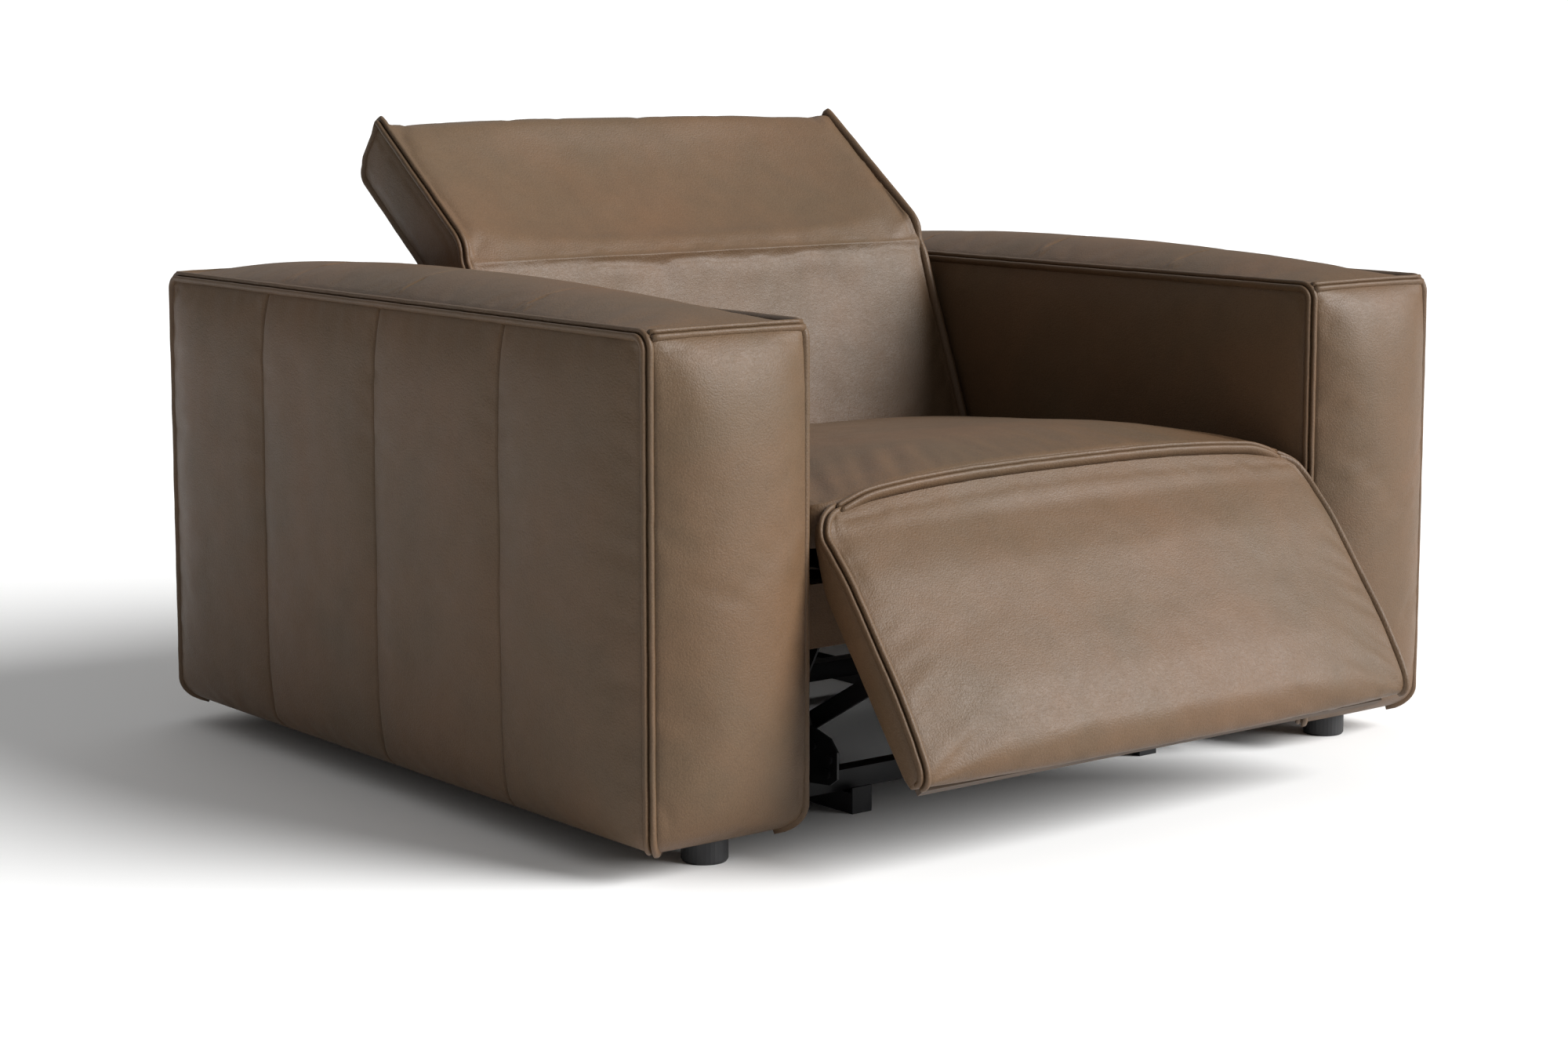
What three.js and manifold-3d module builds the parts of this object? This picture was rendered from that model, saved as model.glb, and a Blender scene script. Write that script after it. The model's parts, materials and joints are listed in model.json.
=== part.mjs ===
// Power recliner armchair: two padded track arms, a seat on springs, a tilting footrest, a reclining
// back with a tilting headrest, and the steel drive under the seat.
// Millimetres, +Z up, +X to the viewer's right, +Y to the back. Inside the group y is counted from the
// arms' front seam plane; the group is then moved so that the origin is under the middle of the chair.
import * as THREE from "three";
import { mergeVertices } from "three/addons/utils/BufferGeometryUtils.js";
import Module from "manifold-3d";

const wasm = await Module();
wasm.setup();

// ---- driving dimensions ----
const GAP = 0.3; // between pieces that touch
const ARM = { inner: 419, outer: 629, front: 6, back: 1074, bottom: 30, top: 600, wall: 22 };
const FOOT = { x: 517, front: 56, rear: 1024, radius: 27, height: 31.7 };
const SEAT = { y: 60, z: 300, tilt: 2.9, halfWidth: 396, front: -48, back: 543, top: 90, bottom: 12 };
const RAIL = { height: 75, thickness: 21 }; // the wooden seat rails
const HINGE = { y: 20, z: 354, rest: 36.4 }; // footrest hinge, and its angle from hanging plumb
const PAD = { halfWidth: 400, front: -36, back: 6, top: -14, bottom: -316 }; // in the footrest's frame
const BOARD = 11.7; // plywood of the footrest
const CRANK = { y: 250, z: 224, tube: 14 }; // torque tube axis
const LINK = { y: 50, z: -150 }; // footrest hinge to link pin, the same as torque tube to crank pin
const LEVER = { length: 62, ahead: 10 }; // drive lever, and its lead on plumb at rest, in degrees
const PIVOT = { y: 668, z: 310 }; // where the back reclines
const HEAD = { y: 780, z: 631, rest: 53.13, length: 238, roll: 46 }; // headrest hinge
const BACK = { rest: 21.3, halfWidth: 392, bottom: -350, front: -46, rear: 40 };
const YOKE = { length: 45, ahead: 14 }; // headrest lever, and how far past square it is at rest
const PLATE_X = [330, 333]; // side plates
const CRANK_X = [316, 320]; // cranks and footrest brackets
const COUPLER_X = [309, 313];
const EAR_X = [190, 196]; // headrest hinge ears on the back
const HINGE_ARM_X = [198, 204]; // headrest hinge arms on the headrest
const BASE_RAIL_X = [226, 256];
const CROSS_TUBE = { size: 25, wall: 2, halfLength: 404.5, front: 130, rear: 640, bottom: 25.3 };
const BEZEL = { x: [-438, -414], y: [97, 203], z: [481, 519] };
const BUTTONS = ["footrest_open", "footrest_close", "headrest_up", "headrest_down"];
const BUTTON = { width: 17.2, height: 21.2, x: [-430, -412], clearance: 0.4, pitch: 24, first: 114 };

const rad = THREE.MathUtils.degToRad;

// ---- materials ----
const material = (color, roughness, metalness = 0) =>
  new THREE.MeshStandardMaterial({ color, roughness, metalness });
const LEATHER = material(0x7d6652, 0.5);
const WOOD = material(0xb58f63, 0.8);
const BLACK_STEEL = material(0x17171a, 0.45, 0.8);
const ZINC_STEEL = material(0x9a9a9c, 0.4, 0.9);
const PLASTIC = material(0x141416, 0.6);
const CLOTH = material(0x1d1d1f, 0.95);

// ---- solids and booleans ----
function solid(geometry) {
  const bare = geometry.index ? geometry.toNonIndexed() : geometry.clone();
  const only = new THREE.BufferGeometry().setAttribute("position", bare.getAttribute("position"));
  const merged = mergeVertices(only, 1e-3);
  return new wasm.Manifold(
    new wasm.Mesh({
      numProp: 3,
      vertProperties: merged.attributes.position.array,
      triVerts: new Uint32Array(merged.index.array),
    }),
  );
}

function geometryOf(made) {
  const mesh = made.getMesh();
  const geometry = new THREE.BufferGeometry();
  geometry.setAttribute("position", new THREE.BufferAttribute(mesh.vertProperties, 3));
  geometry.setIndex(new THREE.BufferAttribute(mesh.triVerts, 1));
  return geometry;
}

const join = (...parts) => geometryOf(parts.map(solid).reduce((a, b) => a.add(b)));
const cut = (body, ...tools) => geometryOf(tools.map(solid).reduce((a, b) => a.subtract(b), solid(body)));

// ---- plain shapes ----
const sorted = (a, b) => [Math.min(a, b), Math.max(a, b)];
const onSide = (side, [a, b]) => sorted(side * a, side * b);

function box([x0, x1], [y0, y1], [z0, z1]) {
  const geometry = new THREE.BoxGeometry(x1 - x0, y1 - y0, z1 - z0);
  return geometry.translate((x0 + x1) / 2, (y0 + y1) / 2, (z0 + z1) / 2);
}

// A round bar along X.
function rod([x0, x1], y, z, radius, sides = 20) {
  const geometry = new THREE.CylinderGeometry(radius, radius, x1 - x0, sides);
  return geometry.rotateZ(Math.PI / 2).translate((x0 + x1) / 2, y, z);
}

// A plate with its outline in the YZ plane, between two x positions. Holes are [y, z, radius].
function plate([x0, x1], outline, holes = []) {
  const shape = outline instanceof THREE.Shape ? outline : new THREE.Shape(outline.map(([y, z]) => new THREE.Vector2(y, z)));
  for (const [y, z, radius] of holes) {
    const hole = new THREE.Path();
    hole.absarc(y, z, radius, 0, 2 * Math.PI, true);
    shape.holes.push(hole);
  }
  const made = new THREE.ExtrudeGeometry(shape, { depth: x1 - x0, bevelEnabled: false, curveSegments: 10 });
  const turn = new THREE.Matrix4().set(0, 0, 1, x0, 1, 0, 0, 0, 0, 1, 0, 0, 0, 0, 0, 1);
  return made.applyMatrix4(turn);
}

// The outline round two circles, [y, z, radius] each: a link bar.
function barOutline([y0, z0, r0], [y1, z1, r1]) {
  const along = Math.atan2(z1 - z0, y1 - y0);
  const open = Math.acos((r0 - r1) / Math.hypot(y1 - y0, z1 - z0));
  const shape = new THREE.Shape();
  shape.absarc(y0, z0, r0, along + open, along - open + 2 * Math.PI, false);
  shape.absarc(y1, z1, r1, along - open, along + open, false);
  return shape;
}

// A padded block: a box whose faces swell by the stated amounts, most at their middles.
function padded([x0, x1], [y0, y1], [z0, z1], swell, segments = [8, 8, 6]) {
  const size = new THREE.Vector3(x1 - x0, y1 - y0, z1 - z0);
  const middle = new THREE.Vector3((x0 + x1) / 2, (y0 + y1) / 2, (z0 + z1) / 2);
  const geometry = new THREE.BoxGeometry(size.x, size.y, size.z, ...segments);
  const position = geometry.getAttribute("position");
  const fall = (t) => 1 - t ** 4;
  for (let i = 0; i < position.count; i++) {
    const u = [0, 1, 2].map((k) => (2 * position.getComponent(i, k)) / size.getComponent(k));
    for (let k = 0; k < 3; k++) {
      const amount = (u[k] < 0 ? swell[k][0] : swell[k][1]) * fall(u[(k + 1) % 3]) * fall(u[(k + 2) % 3]);
      position.setComponent(i, k, middle.getComponent(k) + position.getComponent(i, k) + u[k] * amount);
    }
  }
  return geometry;
}

// ---- the scene graph ----
const chair = new THREE.Group();

function add(parent, name, geometry, look) {
  const mesh = new THREE.Mesh(geometry, look);
  mesh.name = name;
  parent.add(mesh);
  return mesh;
}

function turned(y, z, degrees) {
  const group = new THREE.Group();
  group.position.set(0, y, z);
  group.rotation.x = -rad(degrees);
  chair.add(group);
  return group;
}

const SIDES = [
  ["left", -1],
  ["right", 1],
];

// ---- arms: padded cover open underneath, timber frame inside, two feet each ----
function armCover(side) {
  const sideSwell = side > 0 ? [6, 8] : [8, 6];
  const x = onSide(side, [ARM.inner, ARM.outer]);
  const whole = padded(x, [ARM.front, ARM.back], [ARM.bottom, ARM.top], [sideSwell, [14, 14], [0, 34]], [6, 10, 6]);
  const hollow = box(
    onSide(side, [ARM.inner + ARM.wall, ARM.outer - ARM.wall]),
    [ARM.front + ARM.wall, ARM.back - ARM.wall],
    [ARM.bottom - 10, ARM.top - 25],
  );
  if (side > 0) return cut(whole, hollow);
  const recess = box(
    [BEZEL.x[0] - 8, BEZEL.x[1] + 20],
    [BEZEL.y[0] - GAP, BEZEL.y[1] + GAP],
    [BEZEL.z[0] - GAP, BEZEL.z[1] + GAP],
  );
  return cut(whole, hollow, recess);
}

function armFrame(side) {
  const [inner, outer] = [ARM.inner + ARM.wall + 1, ARM.outer - ARM.wall - 1];
  const [front, back] = [ARM.front + ARM.wall + 1, ARM.back - ARM.wall - 1];
  const [post, floor, top] = [38, ARM.bottom + 2, ARM.top - 26];
  const pieces = [box(onSide(side, [inner, outer]), [front, back], [floor, floor + 18])];
  for (const x of [[inner, inner + post], [outer - post, outer]]) {
    pieces.push(box(onSide(side, x), [front, back], [top - post, top]));
    for (const y of [front, (front + back - post) / 2, back - post])
      pieces.push(box(onSide(side, x), [y, y + post], [floor + 10, top - 10]));
  }
  for (const y of [front, back - post])
    pieces.push(box(onSide(side, [inner + 10, outer - 10]), [y, y + post], [top - post, top]));
  return join(...pieces);
}

function foot() {
  const profile = [
    [0, 0],
    [FOOT.radius - 2, 0],
    [FOOT.radius, 3],
    [FOOT.radius, FOOT.height],
    [0, FOOT.height],
  ];
  const geometry = new THREE.LatheGeometry(profile.map(([r, z]) => new THREE.Vector2(r, z)), 32);
  return geometry.rotateX(Math.PI / 2);
}

for (const [label, side] of SIDES) {
  add(chair, `arm_${label}_cover`, armCover(side), LEATHER);
  add(chair, `arm_${label}_frame`, armFrame(side), WOOD);
  for (const end of ["front", "rear"])
    add(chair, `foot_${end}_${label}`, foot(), PLASTIC).position.set(side * FOOT.x, FOOT[end], 0);
}

// ---- base: floor rails, cross tubes, and the rails that carry the arms ----
function baseRail(side) {
  const [x, wall, height] = [onSide(side, BASE_RAIL_X), 3, 25];
  const channel = box(x, [112, 860], [0, height]);
  const inside = box([x[0] + wall, x[1] - wall], [100, 870], [wall, height + 5]);
  const tab = box(x, [109, 112.5], [0, 32]);
  return join(cut(channel, inside), tab);
}

function crossTube(y) {
  const { size, wall, halfLength, bottom } = CROSS_TUBE;
  const outside = box([-halfLength, halfLength], [y, y + size], [bottom, bottom + size]);
  const inside = box([-500, 500], [y + wall, y + size - wall], [bottom + wall, bottom + size - wall]);
  return cut(outside, inside);
}

for (const [label, side] of SIDES) {
  add(chair, `base_rail_${label}`, baseRail(side), BLACK_STEEL);
  const armRail = box(onSide(side, [CROSS_TUBE.halfLength + GAP, 414.6]), [60, 760], [25, 95]);
  add(chair, `arm_mount_rail_${label}`, armRail, BLACK_STEEL);
}
add(chair, "cross_tube_front", crossTube(CROSS_TUBE.front), BLACK_STEEL);
add(chair, "cross_tube_rear", crossTube(CROSS_TUBE.rear), BLACK_STEEL);
add(chair, "rear_panel", padded([-417, 417], [1034, 1052], [36, 440], [[0, 0], [0, 7], [0, 0]], [8, 1, 6]), LEATHER);

// ---- power inlet on the rear panel ----
const inletX = -150;
const socket = new THREE.CylinderGeometry(4, 4, 12, 16).translate(inletX, 1064, 78);
add(chair, "dc_inlet", cut(box([inletX - 16, inletX + 16], [1058, 1066], [66, 90]), socket), PLASTIC);

// ---- side plates: they carry the seat rails, the torque tube and the back's pivots ----
const PLATE_OUTLINE = [
  [71, 232],
  [112, 160],
  [94, 122],
  [58, 112],
  [45, 98],
  [45, 66],
  [58, 57],
  [122, 50.6],
  [166, 50.6],
  [206, 120],
  [560, 120],
  [625, 50.6],
  [672, 50.6],
  [683, 295],
  [684, 320],
  [675, 330],
  [656, 330],
  [612, 270],
  [72, 296],
];
const tubeHole = [CRANK.y, CRANK.z, CRANK.tube + 0.5];
const pivotHole = [PIVOT.y, PIVOT.z, 6.4];
const lightening = [
  [380, 205, 38],
  [490, 205, 38],
];
const RIVETS = [
  [58, 88],
  [62, 70],
  [88, 100],
  [104, 70],
  [150, 100],
  [170, 250],
  [330, 250],
  [450, 250],
  [570, 250],
];
for (const [label, side] of SIDES) {
  const sheet = plate(onSide(side, PLATE_X), PLATE_OUTLINE, [tubeHole, pivotHole, ...lightening]);
  const heads = RIVETS.map(([y, z]) => rod(onSide(side, [PLATE_X[1] - 1, PLATE_X[1] + 3]), y, z, 5.5, 12));
  add(chair, `side_plate_${label}`, join(sheet, ...heads), BLACK_STEEL);
  const pin = join(
    rod(onSide(side, [326, 345]), PIVOT.y, PIVOT.z, 6),
    rod(onSide(side, [325, 329.5]), PIVOT.y, PIVOT.z, 10),
    rod(onSide(side, [341, 345]), PIVOT.y, PIVOT.z, 10),
  );
  add(chair, `back_pivot_pin_${label}`, pin, ZINC_STEEL);
}

// ---- seat: rails, spring grid, deck cloth, cushion and the cover on the front rail ----
const seat = turned(SEAT.y, SEAT.z, SEAT.tilt);
const rearRail = [SEAT.back - 30, SEAT.back - 30 + RAIL.thickness];
add(seat, "seat_front_rail", box([-355, 355], [-9, RAIL.thickness - 9.5], [-RAIL.height, 0]), WOOD);
add(seat, "seat_rear_rail", box([-329, 329], rearRail, [-RAIL.height, 0]), WOOD);
add(seat, "seat_front_cover", box([-380, 380], [-13, -9 - GAP], [-RAIL.height - 1, 0]), LEATHER);
add(seat, "seat_deck_cloth", box([-320, 320], [6, SEAT.back - 8], [8.3, 10.3]), CLOTH);

function seatSprings() {
  const [wire, height, waves, swing, from, to] = [2, 4.6, 9, 30, 2, SEAT.back - 12];
  const circle = new THREE.Shape();
  circle.absarc(0, 0, wire, 0, 2 * Math.PI, false);
  const pieces = [];
  for (const x of [-225, -75, 75, 225]) {
    const points = [];
    for (let i = 0; i <= 4 * waves; i++) {
      const t = i / (4 * waves);
      points.push(new THREE.Vector3(x + swing * Math.sin(2 * Math.PI * waves * t), from + (to - from) * t, height));
    }
    const extrudePath = new THREE.CatmullRomCurve3(points);
    pieces.push(new THREE.ExtrudeGeometry(circle, { steps: 4 * waves + 4, curveSegments: 3, extrudePath }));
  }
  for (const y of [180, 350]) pieces.push(rod([-262, 262], y, height, 1.7, 6));
  return join(...pieces);
}
add(seat, "seat_spring_grid", seatSprings(), ZINC_STEEL);

function seatCushion() {
  const whole = padded(
    [-SEAT.halfWidth, SEAT.halfWidth],
    [SEAT.front, SEAT.back],
    [SEAT.bottom, SEAT.top],
    [[0, 0], [0, 0], [0, 50]],
    [10, 8, 2],
  );
  return cut(whole, box([-500, 500], [SEAT.front - 10, 6], [0, SEAT.top - 24])); // the nose over the footrest hinge
}
add(seat, "seat_cushion", seatCushion(), LEATHER);

// ---- footrest: hinged at the seat's front, pad and board, and a bracket down each side ----
const footrest = turned(HINGE.y, HINGE.z, HINGE.rest);
const boardY = [PAD.back + GAP, PAD.back + GAP + BOARD];
const bracketSlots = [-1, 1].flatMap((side) => [
  box(onSide(side, [CRANK_X[0] - 1, CRANK_X[1] + 1]), [2, 40], [-143, 20]),
  box(onSide(side, [CRANK_X[0] - 1, 329.5]), [-10, 40], [-64, 20]),
]);

function footrestPad() {
  const whole = padded(
    [-PAD.halfWidth, PAD.halfWidth],
    [PAD.front, PAD.back],
    [PAD.bottom, PAD.top],
    [[0, 0], [21, 0], [0, 0]],
    [10, 2, 8],
  );
  return cut(whole, ...bracketSlots);
}
add(footrest, "footrest_pad", footrestPad(), LEATHER);
const boardBlank = box([-380, 380], boardY, [PAD.bottom + 4, PAD.top - 6]);
add(footrest, "footrest_board", cut(boardBlank, ...bracketSlots), WOOD);

function footrestBracket(side) {
  const strap = [
    [-8, 6],
    [8, 9],
    [21, 2],
    [21.5, -139.5],
    [LINK.y + 2, -139.5],
    [LINK.y + 2, LINK.z - 9],
    [LINK.y - 8, LINK.z - 11],
    [19, -186],
    [18.6, -290],
    [boardY[1] + GAP, -290],
    [boardY[1] + GAP, -141],
    [3, -138],
    [3, -12],
    [-8, -7],
  ];
  const body = join(
    plate(onSide(side, CRANK_X), strap),
    rod(onSide(side, CRANK_X), 0, 0, 11),
    rod(onSide(side, CRANK_X), LINK.y, LINK.z, 11),
    rod(onSide(side, [304, 318]), LINK.y, LINK.z, 5),
    box(onSide(side, [CRANK_X[0] - 16, CRANK_X[1]]), [boardY[1] + GAP, boardY[1] + GAP + 3], [-290, -190]),
  );
  return cut(body, rod(onSide(side, [310, 324]), 0, 0, 5.4));
}
for (const [label, side] of SIDES) add(footrest, `footrest_bracket_${label}`, footrestBracket(side), BLACK_STEEL);

// The fixed arm from the seat's front rail to the footrest hinge, with the hinge pin.
function hingeArm(side) {
  const outline = [
    [73, 262],
    [130, 262],
    [130, 302],
    [66, 308],
    [31, 360],
    [20, 365],
    [10, 360],
    [10, 348],
    [46, 304],
    [73, 302],
  ];
  return join(plate(onSide(side, [322, 328]), outline), rod(onSide(side, [313.5, 328]), HINGE.y, HINGE.z, 5));
}
for (const [label, side] of SIDES) add(chair, `footrest_hinge_arm_${label}`, hingeArm(side), BLACK_STEEL);

// ---- drive: torque tube, two cranks, two couplers to the footrest, and the lever the motor pushes ----
const drive = turned(CRANK.y, CRANK.z, HINGE.rest);
const tubeOutside = rod([-326, 326], 0, 0, CRANK.tube, 28);
add(drive, "torque_tube", cut(tubeOutside, rod([-400, 400], 0, 0, CRANK.tube - 2.5, 28)), ZINC_STEEL);
for (const [label, side] of SIDES) {
  const outline = barOutline([0, 0, 24], [LINK.y, LINK.z, 11]);
  const crank = plate(onSide(side, CRANK_X), outline, [[0, 0, CRANK.tube + GAP]]);
  add(drive, `crank_${label}`, join(crank, rod(onSide(side, [304, 319]), LINK.y, LINK.z, 5)), BLACK_STEEL);
}

// The link pin's place when the chair is at rest, seen from the pivot it turns about.
const linkAt = new THREE.Vector3(0, LINK.y, LINK.z).applyEuler(new THREE.Euler(-rad(HINGE.rest), 0, 0));
for (const [label, side] of SIDES) {
  const [near, far] = [
    [HINGE.y + linkAt.y, HINGE.z + linkAt.z],
    [CRANK.y + linkAt.y, CRANK.z + linkAt.z],
  ];
  const holes = [near, far].map(([y, z]) => [y, z, 5.4]);
  add(chair, `coupler_${label}`, plate(onSide(side, COUPLER_X), barOutline([...near, 11], [...far, 11]), holes), BLACK_STEEL);
}

const leverAngle = rad(LEVER.ahead);
const leverPin = [CRANK.y + LEVER.length * Math.sin(leverAngle), CRANK.z - LEVER.length * Math.cos(leverAngle)];
const leverBar = barOutline([CRANK.y, CRANK.z, 22], [...leverPin, 10]);
const leverPlate = plate([-3, 3], leverBar, [[CRANK.y, CRANK.z, CRANK.tube + GAP]]);
add(chair, "drive_lever", join(leverPlate, rod([-9, 9], ...leverPin, 5)), BLACK_STEEL);

// ---- footrest actuator: motor and gearbox, channel, and the carriage whose slotted fork drives the lever ----
function carriage() {
  const [y] = leverPin;
  const fork = [
    [y - 15, 146],
    [y + 60, 146],
    [y + 60, 196],
    [y - 15, 196],
  ];
  const slot = box([-20, 20], [y - 7.4, y + 7.4], [154, 188]);
  const cheeks = join(
    plate([4, 8], fork),
    plate([-8, -4], fork),
    box([-12, 12], [y + 46, y + 84], [150, 192]),
    box([-9, 9], [y + 80, y + 205], [158, 184]),
  );
  return cut(cheeks, slot);
}
add(chair, "actuator_carriage", carriage(), PLASTIC);
const channelBlank = box([-16, 16], [400, 559.5], [150, 190]);
add(chair, "actuator_channel", cut(channelBlank, box([-10, 10], [390, 570], [157, 185])), ZINC_STEEL);
const motor = join(
  box([-34, 34], [560, 626], [126, 190]),
  rod([-95, -30], 593, 158, 27),
  box([-20, 20], [596, 664], [CROSS_TUBE.bottom + CROSS_TUBE.size + GAP, 130]),
);
add(chair, "actuator_motor", motor, PLASTIC);

// ---- back: side frames on the pivots, rails, cushion and rear cover ----
const back = turned(HEAD.y, HEAD.z, BACK.rest);
const pivotAt = new THREE.Vector3(0, PIVOT.y - HEAD.y, PIVOT.z - HEAD.z);
pivotAt.applyEuler(new THREE.Euler(rad(BACK.rest), 0, 0));
const frameY = [BACK.rear + 1, BACK.rear + 22];

function backSideFrame(side) {
  const arm = barOutline([pivotAt.y, pivotAt.z, 16], [frameY[0] + 10, -250, 11]);
  return cut(
    join(plate(onSide(side, [336, 340]), arm), box(onSide(side, [337, 362]), frameY, [-330, -60])),
    rod(onSide(side, [330, 350]), pivotAt.y, pivotAt.z, 6.4),
  );
}

function backTopRail() {
  const pieces = [box([-335, 335], frameY, [-70, -38])];
  for (const side of [-1, 1]) {
    pieces.push(plate(onSide(side, EAR_X), barOutline([0, 0, 13], [frameY[0] + 8, -54, 12])));
    pieces.push(rod(onSide(side, [EAR_X[0] + 2, HINGE_ARM_X[1] + 3]), 0, 0, 5));
  }
  return cut(join(...pieces), box([2, 12], [BACK.rear - 10, BACK.rear], [-80, -30]));
}

function backCushion() {
  const whole = padded(
    [-BACK.halfWidth, BACK.halfWidth],
    [BACK.front, BACK.rear],
    [BACK.bottom, -2],
    [[0, 0], [20, 0], [0, 0]],
    [10, 2, 8],
  );
  const tools = [rod([-500, 500], 0, 0, HEAD.roll + 3, 40)];
  for (const side of [-1, 1]) {
    tools.push(box(onSide(side, [322, 366]), [pivotAt.y - 34, 60], [BACK.bottom - 10, -225]));
    tools.push(box(onSide(side, [186, 214]), [-18, 60], [-100, 10]));
  }
  tools.push(box([-26, 26], [-18, 60], [-110, 10]), box([-46, 46], [-6, 60], [-302, -105]));
  return cut(whole, ...tools);
}

const rearCover = padded([-BACK.halfWidth, BACK.halfWidth], [frameY[1] + GAP, frameY[1] + 8], [BACK.bottom, -24], [[0, 0], [0, 6], [0, 0]], [8, 1, 8]);
add(back, "back_cushion", backCushion(), LEATHER);
add(back, "back_rear_cover", rearCover, LEATHER);
for (const [label, side] of SIDES) add(back, `back_side_frame_${label}`, backSideFrame(side), BLACK_STEEL);
add(back, "back_top_rail", backTopRail(), BLACK_STEEL);
add(back, "back_bottom_rail", box([-335, 335], frameY, [-330, -303]), BLACK_STEEL);

// ---- headrest drive: motor on the back, and a yoke that slides up and down it ----
const headMotorBody = box([-40, 40], [-2, BACK.rear], [-300, -180]);
add(back, "headrest_motor", cut(headMotorBody, box([4, 10], [27, 50], [-236, -170])), PLASTIC);

const yokePin = [YOKE.length * Math.cos(rad(YOKE.ahead)), -YOKE.length * Math.sin(rad(YOKE.ahead))];
function headrestYoke() {
  const [y, z] = yokePin;
  const [head, stem] = [box([4.5, 9.5], [29, 59], [z - 10, z + 10]), box([4.5, 9.5], [28, 39.5], [-216, z])];
  return cut(join(head, stem), box([0, 20], [33.5, 53], [z - 4.9, z + 4.9]));
}
add(back, "headrest_yoke", headrestYoke(), ZINC_STEEL);

// ---- headrest: cushion with a round lower edge on the hinge axis, board, rear cover, hinge arms, lever ----
const headrest = turned(HEAD.y, HEAD.z, HEAD.rest);
const headBoard = [22 + GAP, 36 + GAP];
const hingeSlots = [
  box([186, 214], [-18, 70], [-70, 50]),
  box([-214, -186], [-18, 70], [-70, 50]),
  box([-26, 26], [-18, 70], [-70, 50]),
];
const armSlots = [-1, 1].map((side) => box(onSide(side, [HINGE_ARM_X[0] - 0.6, HINGE_ARM_X[1] + 0.6]), [-14, 60], [20, 124]));
armSlots.push(box([-3.6, 3.6], [-14, 60], [20, 94]));

function headrestCushion() {
  const slab = padded(
    [-BACK.halfWidth, BACK.halfWidth],
    [-HEAD.roll, 22],
    [0, HEAD.length],
    [[0, 0], [18, 0], [0, 0]],
    [10, 2, 6],
  );
  const roll = rod([-BACK.halfWidth, BACK.halfWidth], 0, 0, HEAD.roll, 32);
  return cut(join(slab, roll), box([-500, 500], [22, 80], [8, 90]), ...hingeSlots, ...armSlots);
}

function headrestArm(side) {
  const arm = barOutline([0, 0, 13], [22, 106, 13.5]);
  return cut(plate(onSide(side, HINGE_ARM_X), arm), rod(onSide(side, [190, 210]), 0, 0, 5.4));
}

function headrestLever() {
  const turn = rad(HEAD.rest - BACK.rest - YOKE.ahead);
  const pin = [YOKE.length * Math.cos(turn), YOKE.length * Math.sin(turn)];
  return join(
    plate([-3, 3], barOutline([0, 0, 12], [...pin, 9])),
    plate([-3, 3], barOutline([0, 0, 12], [22, 78, 13])),
    rod([-3, 12], ...pin, 4),
  );
}

const blanket = box([-BACK.halfWidth, BACK.halfWidth], [headBoard[1] + GAP, HEAD.roll], [12, HEAD.length]);
add(headrest, "headrest_cushion", headrestCushion(), LEATHER);
add(headrest, "headrest_board", cut(box([-370, 370], headBoard, [52, 226]), ...armSlots), WOOD);
add(headrest, "headrest_rear_cover", cut(blanket, ...hingeSlots), LEATHER);
for (const [label, side] of SIDES) add(headrest, `headrest_hinge_arm_${label}`, headrestArm(side), BLACK_STEEL);
add(headrest, "headrest_lever", headrestLever(), BLACK_STEEL);

// ---- control panel on the inner face of the left arm ----
const buttonZ = (BEZEL.z[0] + BEZEL.z[1]) / 2;
function buttonBox(index, x, grow) {
  const y = BUTTON.first + BUTTON.pitch * index;
  const [w, h] = [BUTTON.width / 2 + grow, BUTTON.height / 2 + grow];
  return box(x, [y - w, y + w], [buttonZ - h, buttonZ + h]);
}
const wells = BUTTONS.map((_, i) => buttonBox(i, [BUTTON.x[0] - 3, BEZEL.x[1] + 5], BUTTON.clearance));
add(chair, "control_bezel", cut(box(BEZEL.x, BEZEL.y, BEZEL.z), ...wells), PLASTIC);
BUTTONS.forEach((name, i) => add(chair, `button_${name}`, buttonBox(i, BUTTON.x, 0), PLASTIC));

const bounds = new THREE.Box3().setFromObject(chair, true);
chair.position.y = -(bounds.min.y + bounds.max.y) / 2;

export default chair;
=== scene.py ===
"""Power recliner armchair: leather skins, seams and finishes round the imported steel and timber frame."""

import json
import math

import bmesh
import bpy
import numpy as np
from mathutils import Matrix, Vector, noise


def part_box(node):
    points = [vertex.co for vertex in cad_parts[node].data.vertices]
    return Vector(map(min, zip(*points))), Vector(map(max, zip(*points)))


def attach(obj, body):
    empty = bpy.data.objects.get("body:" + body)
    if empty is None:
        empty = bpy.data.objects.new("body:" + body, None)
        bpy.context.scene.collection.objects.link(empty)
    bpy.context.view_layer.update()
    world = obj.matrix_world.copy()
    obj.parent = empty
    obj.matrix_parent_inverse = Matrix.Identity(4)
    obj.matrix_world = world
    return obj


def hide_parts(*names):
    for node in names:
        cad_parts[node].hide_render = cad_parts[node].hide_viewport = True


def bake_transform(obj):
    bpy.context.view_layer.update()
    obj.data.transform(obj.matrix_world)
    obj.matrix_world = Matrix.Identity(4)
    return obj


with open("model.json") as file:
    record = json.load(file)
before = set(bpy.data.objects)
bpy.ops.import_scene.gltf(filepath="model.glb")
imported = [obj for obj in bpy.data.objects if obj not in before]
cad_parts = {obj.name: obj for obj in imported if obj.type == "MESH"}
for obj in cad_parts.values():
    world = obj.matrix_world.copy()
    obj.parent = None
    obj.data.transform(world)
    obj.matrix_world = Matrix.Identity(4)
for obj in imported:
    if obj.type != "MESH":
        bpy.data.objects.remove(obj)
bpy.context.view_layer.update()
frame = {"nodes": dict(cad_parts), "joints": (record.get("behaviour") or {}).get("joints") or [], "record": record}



# ---- where things are, in metres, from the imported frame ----
def half_width(node):
    """Half the width of a node that lies across the middle, to a tenth of a millimetre."""
    return round(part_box(node)[1].x, 4)


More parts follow.
